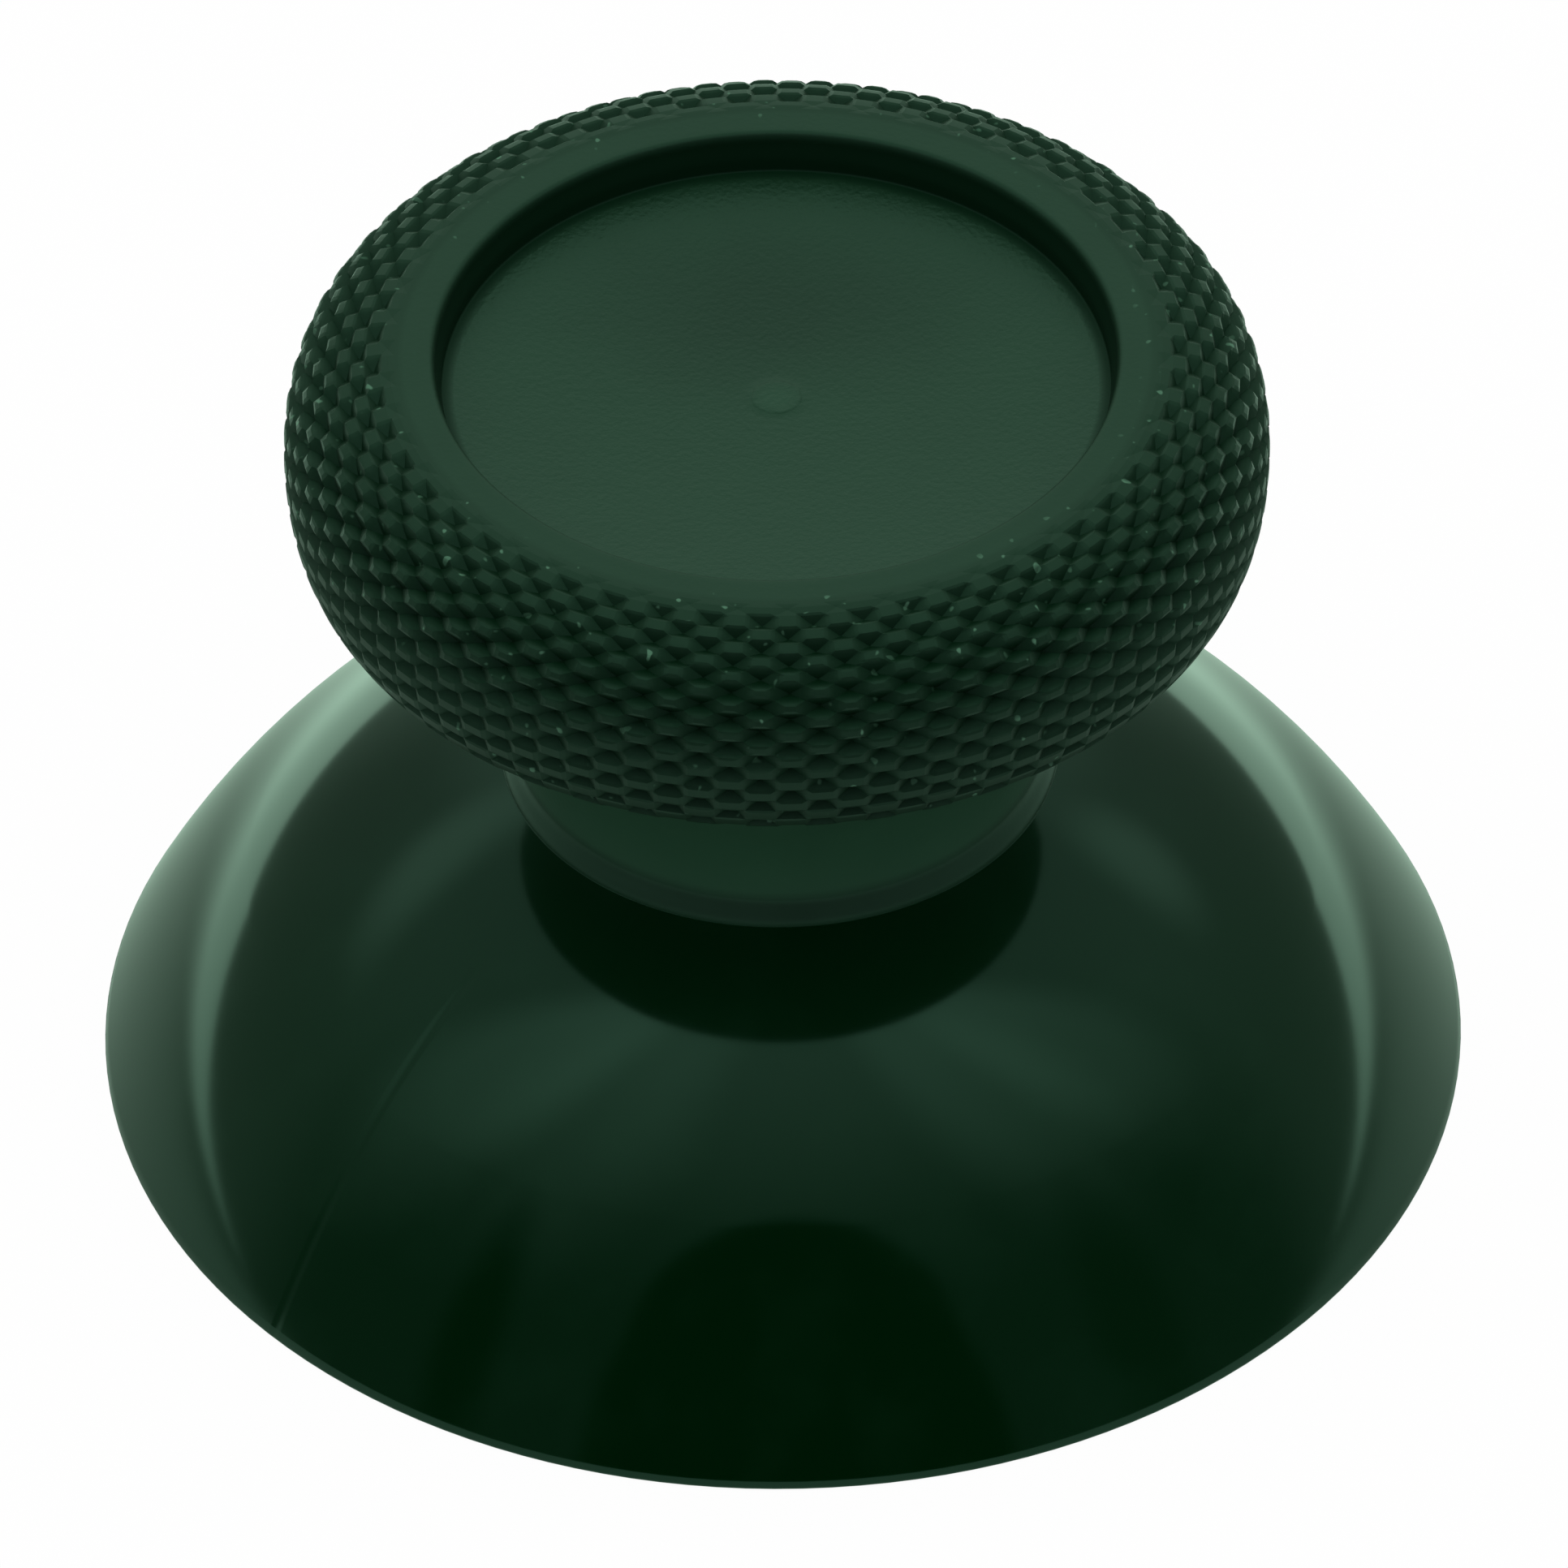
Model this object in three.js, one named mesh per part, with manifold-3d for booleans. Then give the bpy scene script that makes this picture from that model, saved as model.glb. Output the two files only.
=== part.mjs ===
// Thumbstick cap for a game controller: one plastic moulding.
// From the base up it is a domed skirt, a short waisted neck with a bead at its
// foot, and a round head knurled with raised diamond pyramids, whose top is a
// flat ring round a shallow dished recess. The underside is hollow, with a boss
// that holds a two-flat socket for the stick's shaft.
// Sizes are in millimetres. +Z points up, and the origin is the centre of the
// plane the skirt's rim lies in.
import * as THREE from "three";
import { mergeVertices } from "three/addons/utils/BufferGeometryUtils.js";
import Module from "manifold-3d";

// Overall sizes.
const SKIRT_DIAMETER = 24.0;
const CAP_HEIGHT = 15.75;
const HEAD_DIAMETER = 17.15;

// Skirt: two arcs that meet at the shoulder point. The point's place and the
// arcs' bows are shares of the skirt's width and height and of the arcs' chords.
const SKIRT_HEIGHT = 6.8;
const SKIRT_SHOULDER_ACROSS = 0.625;
const SKIRT_SHOULDER_UP = 0.575;
const SKIRT_FLANK_BOW = 0.0355;
const SKIRT_CROWN_BOW = 0.058;
const SKIRT_WALL = 1.4;
const SHOULDER_WALL_SHARE = 0.7;
const RIM_ROUNDING = 0.1;
const ARC_STEPS = 4;

// Neck and the bead at its foot. A pull is the place of a curve's inner control
// point, as shares of the curve's width and rise.
const NECK_DIAMETER = 9.4;
const NECK_START_PULL = { across: 0, up: 0.42 };
const NECK_END_PULL = { across: 0.49, up: 0.67 };
const NECK_STEPS = 6;
const BEAD_DIAMETER = 9.8;
const BEAD_HEIGHT = 0.45;
const BEAD_EDGE = { inset: 0.07, low: 0.225, high: 0.36 };

// Head: the widest level is measured down from the top ring.
const WIDEST_DEPTH = 2.0;
const KNURL_END_DEPTH = 3.7;
const KNURL_END_INSET = 0.38;
const HEAD_LOW_PULL = { across: 0.8, up: 0.23 };
const HEAD_SIDE_PULL = { below: 0.6, above: 0.68 };
const HEAD_TOP_PULL = { across: 0.37, up: 0.89 };

// Diamond knurl: pyramids per turn, and the levels their corners lie on. The
// tips die out over the lowest levels, and the grooves over the highest.
const KNURL_COUNT = 50;
const KNURL_LEVELS = 17;
const KNURL_DEPTH = 0.2;
const LOWEST_TIPS = [0, 0.45, 0.85];
const HIGHEST_GROOVES = { [KNURL_LEVELS - 1]: 0.9, [KNURL_LEVELS]: 0.45 };

// Top ring and recess.
const RING_OUTER_DIAMETER = 13.4;
const RECESS_DIAMETER = 11.9;
const RECESS_WALL_DEPTH = 0.75;
const RECESS_DISH = 0.25;
const RECESS_DRAFT = 0.13;
const DISH_SHARES = [0.75, 0.5, 0.25];
const RING_EDGE = 0.1;
const GATE_MARK_DIAMETER = 0.9;
const GATE_MARK_HEIGHT = 0.05;

// Boss and shaft socket on the underside.
const BOSS_DIAMETER = 6.8;
const BOSS_END_HEIGHT = 4.5;
const BOSS_EDGE = 0.2;
const BOSS_ROOT = { across: 0.3, up: 0.25 };
const HOLLOW_SEGMENTS = 48;
const SOCKET_DIAMETER = 4.0;
const SOCKET_ACROSS_FLATS = 3.0;
const SOCKET_DEPTH = 6.0;
const SOCKET_LEAD_IN = 0.3;
const SOCKET_STEPS = 12;

// A rounded edge is one facet on each side of a corner that stands this share of
// the rounding in from both faces. Cutting tools reach past the face they enter.
const EDGE_CORNER = 0.3;
const CUT_REACH = 1;

const COLOUR = 0x1c3226;
const ROUGHNESS = 0.3;
const METALNESS = 0.0;

// Points on the circular arc from p to q, q included and p left out. The arc
// stands out from the chord by bow times its length, to the right of the way
// from p to q when bow is positive.
function bowedArc(p, q, bow, steps) {
  const chord = q.clone().sub(p);
  const length = chord.length();
  const side = new THREE.Vector2(chord.y, -chord.x).divideScalar(length);
  const rise = bow * length;
  const radius = (length * length / 4 + rise * rise) / (2 * rise);
  const centre = p.clone().add(q).multiplyScalar(0.5);
  centre.addScaledVector(side, rise - radius);
  const half = Math.asin(length / 2 / radius);
  const points = [];
  for (let i = 1; i <= steps; i += 1) {
    const turn = half * (2 * i / steps - 1);
    const point = centre.clone();
    point.addScaledVector(side, radius * Math.cos(turn));
    point.addScaledVector(chord, radius * Math.sin(turn) / length);
    points.push(point);
  }
  return points;
}

// A round solid from a profile of (radius, height) points on +Z.
function turned(profile, segments) {
  const lathe = new THREE.LatheGeometry(profile, segments);
  lathe.rotateX(Math.PI / 2);
  return lathe;
}

// The geometry's surface as a solid for boolean cuts.
function solidFrom(wasm, geometry) {
  const bare = new THREE.BufferGeometry();
  bare.setAttribute("position", geometry.getAttribute("position"));
  bare.setIndex(geometry.getIndex());
  const merged = mergeVertices(bare, 1e-4);
  const corners = [];
  const index = merged.getIndex().array;
  for (let i = 0; i < index.length; i += 3) {
    const [a, b, c] = [index[i], index[i + 1], index[i + 2]];
    if (a !== b && b !== c && c !== a) {
      corners.push(a, b, c);
    }
  }
  const mesh = new wasm.Mesh({
    numProp: 3,
    vertProperties: merged.getAttribute("position").array,
    triVerts: new Uint32Array(corners),
  });
  return new wasm.Manifold(mesh);
}

// The solid's surface as a geometry with one flat normal per facet.
function geometryFrom(solid) {
  const mesh = solid.getMesh();
  const geometry = new THREE.BufferGeometry();
  const positions = new THREE.BufferAttribute(mesh.vertProperties, 3);
  geometry.setAttribute("position", positions);
  geometry.setIndex(new THREE.BufferAttribute(mesh.triVerts, 1));
  const flat = geometry.toNonIndexed();
  flat.computeVertexNormals();
  return flat;
}

// The skirt's outline from the rim up to the bead, and where its arcs meet.
function skirtPoints(inset) {
  const rim = new THREE.Vector2(SKIRT_DIAMETER / 2 - inset, RIM_ROUNDING);
  const foot = new THREE.Vector2(BEAD_DIAMETER / 2, SKIRT_HEIGHT - inset);
  const shoulder = new THREE.Vector2(
    foot.x + (SKIRT_DIAMETER / 2 - foot.x) * SKIRT_SHOULDER_ACROSS,
    SKIRT_HEIGHT * SKIRT_SHOULDER_UP,
  ).subScalar(SHOULDER_WALL_SHARE * inset);
  return [
    rim,
    ...bowedArc(rim, shoulder, SKIRT_FLANK_BOW, ARC_STEPS),
    ...bowedArc(shoulder, foot, SKIRT_CROWN_BOW, ARC_STEPS),
  ];
}

// The point at the pull's shares of the way from p to q.
function pulled(p, q, pull) {
  return new THREE.Vector2(
    THREE.MathUtils.lerp(p.x, q.x, pull.across),
    THREE.MathUtils.lerp(p.y, q.y, pull.up),
  );
}

// The neck from the bead's top up to the last level of the knurl.
function neckPoints(top) {
  const waist = new THREE.Vector2(NECK_DIAMETER / 2, SKIRT_HEIGHT + BEAD_HEIGHT);
  const curve = new THREE.CubicBezierCurve(
    waist,
    pulled(waist, top, NECK_START_PULL),
    pulled(waist, top, NECK_END_PULL),
    top,
  );
  return curve.getPoints(NECK_STEPS);
}

// The surface the pyramids' tips lie on, from the last level up to the ring.
function headCurve() {
  const widest = new THREE.Vector2(HEAD_DIAMETER / 2, CAP_HEIGHT - WIDEST_DEPTH);
  const ring = new THREE.Vector2(RING_OUTER_DIAMETER / 2, CAP_HEIGHT);
  const end = new THREE.Vector2(
    widest.x - KNURL_END_INSET,
    CAP_HEIGHT - KNURL_END_DEPTH,
  );
  const path = new THREE.CurvePath();
  path.add(new THREE.CubicBezierCurve(
    end,
    pulled(end, widest, HEAD_LOW_PULL),
    pulled(end, widest, { across: 1, up: HEAD_SIDE_PULL.below }),
    widest,
  ));
  path.add(new THREE.CubicBezierCurve(
    widest,
    pulled(widest, ring, { across: 0, up: HEAD_SIDE_PULL.above }),
    pulled(widest, ring, HEAD_TOP_PULL),
    ring,
  ));
  return path;
}

// Two points for each level of the knurl: on the tips and down in the grooves.
function knurlLevels() {
  const spaced = headCurve().getSpacedPoints(KNURL_LEVELS);
  return spaced.map((point, level) => {
    const before = spaced[Math.max(level - 1, 0)];
    const after = spaced[Math.min(level + 1, KNURL_LEVELS)];
    const along = after.clone().sub(before).normalize();
    const inward = new THREE.Vector2(-along.y, along.x);
    const tipDepth = KNURL_DEPTH * (1 - (LOWEST_TIPS[level] ?? 1));
    const grooveDepth = Math.max(KNURL_DEPTH * (HIGHEST_GROOVES[level] ?? 1), tipDepth);
    return {
      tip: point.clone().addScaledVector(inward, tipDepth),
      groove: point.clone().addScaledVector(inward, grooveDepth),
    };
  });
}

// The ring and the recess, from the ring's outer edge in to the axis.
function topPoints() {
  const edge = RECESS_DIAMETER / 2;
  const floor = edge - RECESS_DRAFT;
  const floorHeight = CAP_HEIGHT - RECESS_WALL_DEPTH;
  const gate = GATE_MARK_DIAMETER / 2;
  const points = [
    new THREE.Vector2(RING_OUTER_DIAMETER / 2 - RING_EDGE, CAP_HEIGHT),
    new THREE.Vector2(edge + RING_EDGE, CAP_HEIGHT),
    new THREE.Vector2(edge + EDGE_CORNER * RING_EDGE, CAP_HEIGHT - EDGE_CORNER * RING_EDGE),
    new THREE.Vector2(edge, CAP_HEIGHT - RING_EDGE),
    new THREE.Vector2(floor, floorHeight + RING_EDGE),
    new THREE.Vector2(floor - RING_EDGE, floorHeight),
  ];
  const start = points[points.length - 1];
  const middle = new THREE.Vector2(0, floorHeight - RECESS_DISH);
  const sag = (radius) => middle.y + RECESS_DISH * (radius / start.x) ** 2;
  for (const share of DISH_SHARES) {
    points.push(new THREE.Vector2(share * start.x, sag(share * start.x)));
  }
  points.push(new THREE.Vector2(gate, sag(gate)));
  points.push(new THREE.Vector2(gate, sag(gate) + GATE_MARK_HEIGHT));
  points.push(new THREE.Vector2(0, sag(gate) + GATE_MARK_HEIGHT));
  return points;
}

// The outside as one closed surface. It is turned from the profile, and then
// every second corner of the knurl's levels drops to the groove, the odd and
// the even levels taking turns, so that each tip has four facets round it.
function outsideGeometry() {
  const levels = knurlLevels();
  const bead = BEAD_DIAMETER / 2;
  const below = [
    new THREE.Vector2(0, 0),
    new THREE.Vector2(SKIRT_DIAMETER / 2 - RIM_ROUNDING, 0),
    new THREE.Vector2(
      SKIRT_DIAMETER / 2 - EDGE_CORNER * RIM_ROUNDING,
      EDGE_CORNER * RIM_ROUNDING,
    ),
    ...skirtPoints(0),
    new THREE.Vector2(bead, SKIRT_HEIGHT + BEAD_EDGE.low),
    new THREE.Vector2(bead - BEAD_EDGE.inset, SKIRT_HEIGHT + BEAD_EDGE.high),
    ...neckPoints(levels[0].tip).slice(0, -1),
  ];
  const profile = [...below, ...levels.map((level) => level.tip), ...topPoints()];
  const segments = 2 * KNURL_COUNT;
  const geometry = turned(profile, segments);
  const positions = geometry.getAttribute("position");
  const rows = profile.length;
  for (let column = 0; column <= segments; column += 1) {
    for (let level = 0; level <= KNURL_LEVELS; level += 1) {
      if ((column + level) % 2 === 1) {
        const at = column * rows + below.length + level;
        const { groove } = levels[level];
        const scale = groove.x / Math.hypot(positions.getX(at), positions.getY(at));
        positions.setX(at, positions.getX(at) * scale);
        positions.setY(at, positions.getY(at) * scale);
        positions.setZ(at, groove.y);
      }
    }
  }
  geometry.setIndex(gridIndex(rows, segments, below.length));
  return geometry;
}

// Two triangles for each cell of the turned surface. In the knurl the cut runs
// from groove corner to groove corner.
function gridIndex(rows, segments, knurlStart) {
  const index = [];
  for (let column = 0; column < segments; column += 1) {
    for (let row = 0; row < rows - 1; row += 1) {
      const a = column * rows + row;
      const b = a + rows;
      const c = b + 1;
      const d = a + 1;
      if ((column + row - knurlStart) % 2 === 0) {
        index.push(a, b, d, b, c, d);
      } else {
        index.push(a, b, c, a, c, d);
      }
    }
  }
  return index;
}

// The hollow inside the skirt, which leaves the boss standing in the middle.
function hollowGeometry() {
  const boss = BOSS_DIAMETER / 2;
  const wall = skirtPoints(SKIRT_WALL);
  const crown = wall[wall.length - 1];
  const mouth = SKIRT_DIAMETER / 2 - SKIRT_WALL + RIM_ROUNDING;
  const profile = [
    new THREE.Vector2(0, -CUT_REACH),
    new THREE.Vector2(mouth, -CUT_REACH),
    new THREE.Vector2(mouth, 0),
    ...wall,
    new THREE.Vector2(boss + BOSS_ROOT.across, crown.y + BOSS_ROOT.up),
    new THREE.Vector2(boss, crown.y),
    new THREE.Vector2(boss, BOSS_END_HEIGHT + BOSS_EDGE),
    new THREE.Vector2(boss - BOSS_EDGE, BOSS_END_HEIGHT),
    new THREE.Vector2(0, BOSS_END_HEIGHT),
  ];
  return turned(profile, HOLLOW_SEGMENTS);
}

// The shaft's outline: round, with two flats.
function socketOutline() {
  const radius = SOCKET_DIAMETER / 2;
  const turn = Math.asin(SOCKET_ACROSS_FLATS / SOCKET_DIAMETER);
  const outline = new THREE.Shape();
  outline.absarc(0, 0, radius, -turn, turn, false);
  outline.absarc(0, 0, radius, Math.PI - turn, Math.PI + turn, false);
  outline.closePath();
  return outline;
}

// The shaft hole up into the boss.
function socketGeometry() {
  const socket = new THREE.ExtrudeGeometry(socketOutline(), {
    depth: SOCKET_DEPTH + CUT_REACH,
    bevelEnabled: false,
    curveSegments: SOCKET_STEPS,
  });
  socket.translate(0, 0, BOSS_END_HEIGHT - CUT_REACH);
  return socket;
}

// The wider mouth that guides the shaft in. Half of its bevel lies past the
// boss's end, so that the hole is wider there by the lead-in.
function leadInGeometry() {
  const mouth = new THREE.ExtrudeGeometry(socketOutline(), {
    depth: CUT_REACH,
    bevelThickness: 2 * SOCKET_LEAD_IN,
    bevelSize: 2 * SOCKET_LEAD_IN,
    bevelSegments: 1,
    curveSegments: SOCKET_STEPS,
  });
  mouth.translate(0, 0, BOSS_END_HEIGHT - CUT_REACH - SOCKET_LEAD_IN);
  return mouth;
}

const wasm = await Module();
wasm.setup();

const body = solidFrom(wasm, outsideGeometry())
  .subtract(solidFrom(wasm, hollowGeometry()))
  .subtract(solidFrom(wasm, socketGeometry()))
  .subtract(solidFrom(wasm, leadInGeometry()));

const plastic = new THREE.MeshStandardMaterial({
  color: COLOUR,
  roughness: ROUGHNESS,
  metalness: METALNESS,
});

const cap = new THREE.Mesh(geometryFrom(body), plastic);
cap.name = "thumbstick_cap";

const part = new THREE.Group();
part.name = "thumbstick_cap_part";
part.add(cap);

export default part;
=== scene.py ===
"""Dresses the thumbstick cap: one dark green moulding in a small light tent.

The cap is one closed grid. A profile runs from the socket under the boss, over
the rim, skirt, neck and knurled head, to the middle of the recess, and is
carried round the axis. Round the knurl the grid is finer, and its points sink
from the flat tops' surface into square dimples.
"""

import logging
import math
from dataclasses import dataclass, field
from enum import Enum

import bpy
import numpy as np
from mathutils import Matrix, Vector


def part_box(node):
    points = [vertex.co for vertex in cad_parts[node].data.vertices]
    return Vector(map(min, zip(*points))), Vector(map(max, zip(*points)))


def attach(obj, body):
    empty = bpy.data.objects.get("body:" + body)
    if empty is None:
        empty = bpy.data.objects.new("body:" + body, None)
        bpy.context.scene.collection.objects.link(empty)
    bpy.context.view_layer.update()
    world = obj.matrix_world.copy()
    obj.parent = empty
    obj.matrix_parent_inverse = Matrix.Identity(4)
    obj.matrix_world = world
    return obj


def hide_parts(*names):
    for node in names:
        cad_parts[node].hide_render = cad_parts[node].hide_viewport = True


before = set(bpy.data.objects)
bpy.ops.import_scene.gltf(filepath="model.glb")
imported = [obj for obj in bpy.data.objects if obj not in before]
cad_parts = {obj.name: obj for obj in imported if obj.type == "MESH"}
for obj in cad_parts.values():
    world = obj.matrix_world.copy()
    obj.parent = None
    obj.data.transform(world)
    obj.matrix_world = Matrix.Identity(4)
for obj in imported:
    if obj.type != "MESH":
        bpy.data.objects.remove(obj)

LOG = logging.getLogger("thumbstick_cap")
MM = 0.001
NODE = "thumbstick_cap"
BODY = "root"
WHITE = (1.0, 1.0, 1.0, 1.0)
Points = np.ndarray


class Finish(Enum):
    """The surfaces of the one moulding, each with its polish, grain and paleness."""

    HOLLOW = (0.35, 0.0, 0.0)
    SKIRT = (1.0, 0.0, 0.0)
    BEAD = (0.0, 0.2, 0.24)
    # The neck's high paleness is painted light, standing in for the floor's and skirt's light on
    # its downward face.
    NECK = (0.0, 0.2, 0.85)
    KNURL = (0.0, 0.1, 0.12)
    RING = (0.1, 0.3, 0.17)
    WALL = (0.0, 0.0, 0.0)
    RECESS = (0.35, 1.0, 0.19)

    @property
    def polish(self) -> float:
        """How far the surface is from matte, 0 to 1."""
        return self.value[0]

    @property
    def grain(self) -> float:
        """How strongly the surface is grained, 0 to 1."""
        return self.value[1]

    @property
    def pale(self) -> float:
        """How far the colour is from the darkest green, 0 to 1."""
        return self.value[2]


@dataclass
class Stretch:
    """A stretch of the profile: its points in millimetres and its finish.

    Its paleness rises evenly from start_share of the finish's to all of it, and
    painted_shade says how far the stretch is darkened as painted shade, as the knurl's dimples
    are.
    """

    points: Points
    finish: Finish
    bore: bool = False
    start_share: float = 1.0
    painted_shade: float = 0.0


def straight(start: Points, end: Points, steps: int) -> Points:
    """Points on the line from start to end.

    Args:
        start: Radius and height of the first point, which is left out.
        end: Radius and height of the last point, which is kept.
        steps: How many points are made.

    Returns:
        An array of steps rows.
    """
    share = np.linspace(0.0, 1.0, steps + 1)[1:, None]
    return np.asarray(start) * (1.0 - share) + np.asarray(end) * share


def bowed(start: Points, end: Points, bow: float, steps: int) -> Points:
    """Points on the circular arc from start to end.

    The arc stands out from its chord by bow times the chord, to the right of
    the way from start to end. A point is the centre plus the radius turned by
    an angle that grows evenly from minus to plus half the arc.

    Args:
        start: Radius and height of the first point, which is left out.
        end: Radius and height of the last point, which is kept.
        bow: Rise of the arc over its chord, as a share of the chord.
        steps: How many points are made.

    Returns:
        An array of steps rows.
    """
    start, end = np.asarray(start, float), np.asarray(end, float)
    chord = end - start
    length = np.hypot(*chord)
    along = chord / length
    side = np.array([along[1], -along[0]])
    rise = bow * length
    radius = (length**2 / 4.0 + rise**2) / (2.0 * rise)
    centre = (start + end) / 2.0 + side * (rise - radius)
    half = math.asin(length / 2.0 / radius)
    turn = np.linspace(-half, half, steps + 1)[1:, None]
    return centre + radius * (side * np.cos(turn) + along * np.sin(turn))


def bezier(corners: list[tuple[float, float]], steps: int) -> Points:
    """Points on the cubic curve of four corners, each weighted by its Bernstein share.

    Args:
        corners: Radius and height of the four corners.
        steps: How many intervals the curve is cut into.

    Returns:
        An array of steps + 1 rows, both ends included.
    """
    t = np.linspace(0.0, 1.0, steps + 1)[:, None]
    a, b, c, d = (np.asarray(corner, float) for corner in corners)
    return a * (1 - t) ** 3 + 3 * b * t * (1 - t) ** 2 + 3 * c * t**2 * (1 - t) + d * t**3


def rounded(before: Points, corner: Points, after: Points, reach: float, steps: int) -> Points:
    """A rounded corner: the quadratic curve that touches both of its sides.

    Args:
        before: A point on the side that leads to the corner.
        corner: The sharp corner.
        after: A point on the side that leads away.
        reach: How far from the corner the rounding starts and ends.
        steps: How many points are made after the first.

    Returns:
        An array of steps + 1 rows.
    """
    before, corner, after = (np.asarray(p, float) for p in (before, corner, after))
    start = corner + (before - corner) * reach / np.hypot(*(before - corner))
    end = corner + (after - corner) * reach / np.hypot(*(after - corner))
    t = np.linspace(0.0, 1.0, steps + 1)[:, None]
    return start * (1 - t) ** 2 + 2 * corner * t * (1 - t) + end * t**2


@dataclass
class Skirt:
    """The domed skirt with its rim and the hollow inside it, in millimetres."""

    radius: float
    height: float = 6.8
    bead_radius: float = 4.9
    bead_height: float = 0.4
    bead_foot: float = 0.05
    shoulder_across: float = 0.625
    shoulder_up: float = 0.575
    shoulder_inset: float = 0.7
    flank_bow: float = 0.0355
    crown_bow: float = 0.058
    wall: float = 1.4
    rim_rounding: float = 0.08
    boss_rounding: float = 0.2
    boss_root: float = 0.3
    hollow_rise: float = 0.25
    hollow_reach: float = 0.6
    bead_foot_share: float = 0.2

    def corners(self, inset: float) -> tuple[Points, Points, Points]:
        """The rim, shoulder and foot points that the skirt's two arcs join.

        Args:
            inset: Depth below the outer surface.

        Returns:
            Three points of radius and height.
        """
        rim = np.array([self.radius - inset, self.rim_rounding])
        foot = np.array([self.bead_radius, self.height - inset])
        across = foot[0] + (self.radius - foot[0]) * self.shoulder_across
        outer = np.array([across, self.height * self.shoulder_up])
        shoulder = outer - self.shoulder_inset * inset
        return rim, shoulder, foot

    def outside(self) -> Points:
        """The rounded rim, the flank and the crown, up to the bead.

        Two points close to the crown's end keep its shading crisp at the bead.

        Returns:
            Points of radius and height.
        """
        rim, shoulder, foot = self.corners(0.0)
        edge = [self.radius, 0.0]
        inner = [self.radius - 1.0, 0.0]
        crown = bowed(shoulder, foot, self.crown_bow, 18)
        return np.vstack([
            rounded(inner, edge, rim, self.rim_rounding, 7)[:-1],
            rim[None],
            bowed(rim, shoulder, self.flank_bow, 30),
            crown[:-1],
            straight(crown[-2], crown[-1], 24)[-2:],
        ])

    def hollow(self, boss_radius: float, boss_end: float) -> Points:
        """The inner surface, from the boss's end out over the crown to the rim.

        Args:
            boss_radius: Radius of the boss under the neck.
            boss_end: Height of the boss's end.

        Returns:
            Points of radius and height.
        """
        rim, shoulder, foot = self.corners(self.wall)
        crown = foot[1] + self.hollow_rise
        mouth = [rim[0] + self.rim_rounding, 0.0]
        root = [boss_radius, crown]
        out = [boss_radius + self.hollow_reach, crown]
        return np.vstack([
            rounded([0.0, boss_end], [boss_radius, boss_end], root, self.boss_rounding, 4),
            rounded([boss_radius, boss_end], root, out, self.boss_root, 4),
            bowed(foot, shoulder, -self.crown_bow, 8),
            bowed(shoulder, rim, -self.flank_bow, 12),
            straight(rim, mouth, 2),
        ])

    def bead(self, waist: float) -> Points:
        """The soft bead at the neck's foot, from the skirt to the waist.

        Its radius eases from the bead's to the waist's as half a cosine wave.

        Args:
            waist: Radius of the neck where the bead ends.

        Returns:
            Points of radius and height.
        """
        share = np.linspace(0.0, 1.0, 13)
        ease = (1.0 + np.cos(math.pi * share)) / 2.0
        radius = waist + (self.bead_radius - waist) * ease
        foot = [self.bead_radius, self.height + self.bead_foot_share * self.bead_foot]
        rise = self.height + self.bead_foot + self.bead_height * share
        return np.vstack([foot, np.stack([radius, rise], 1)])


@dataclass
class Boss:
    """The boss under the neck and its two-flat shaft socket, in millimetres."""

    radius: float = 3.4
    end: float = 4.5
    socket_radius: float = 2.0
    socket_flat: float = 1.5
    socket_depth: float = 6.0
    lead_in: float = 0.3
    floor_rounding: float = 0.05
    face_inset: float = 0.3
    face_gap: float = 0.6

    def stretches(self) -> list[Stretch]:
        """The socket's floor and wall, its lead-in and the boss's end face.

        The points of a bore stretch give a share of the socket's outline in
        place of a radius, or its outline plus the margin past one.

        Returns:
            The socket's stretch and the end face's.
        """
        floor = self.end + self.socket_depth
        mouth = self.end + self.lead_in
        bore = np.vstack([
            [[0.5, floor]],
            rounded([0.9, floor], [1.0, floor], [1.0, floor - 1.0], self.floor_rounding, 3),
            straight([1.0, floor - 0.2], [1.0, mouth], 6),
            [[1.0 + self.lead_in, self.end]],
        ])
        face = straight([self.socket_radius + self.face_gap, self.end],
                        [self.radius - self.face_inset, self.end], 2)
        return [Stretch(bore, Finish.HOLLOW, bore=True), Stretch(face, Finish.HOLLOW)]

    def outline(self, turn: Points, share: float) -> Points:
        """Radius of the socket's outline: the circle, or the flat where it is nearer.

        Args:
            turn: Angles round the axis from the front.
            share: Share of the outline up to 1, and past it the margin added.

        Returns:
            A radius for each angle.
        """
        margin = max(share - 1.0, 0.0)
        flat = (self.socket_flat + margin) / np.maximum(np.abs(np.cos(turn)), 1e-6)
        return min(share, 1.0) * np.minimum(self.socket_radius + margin, flat)


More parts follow.
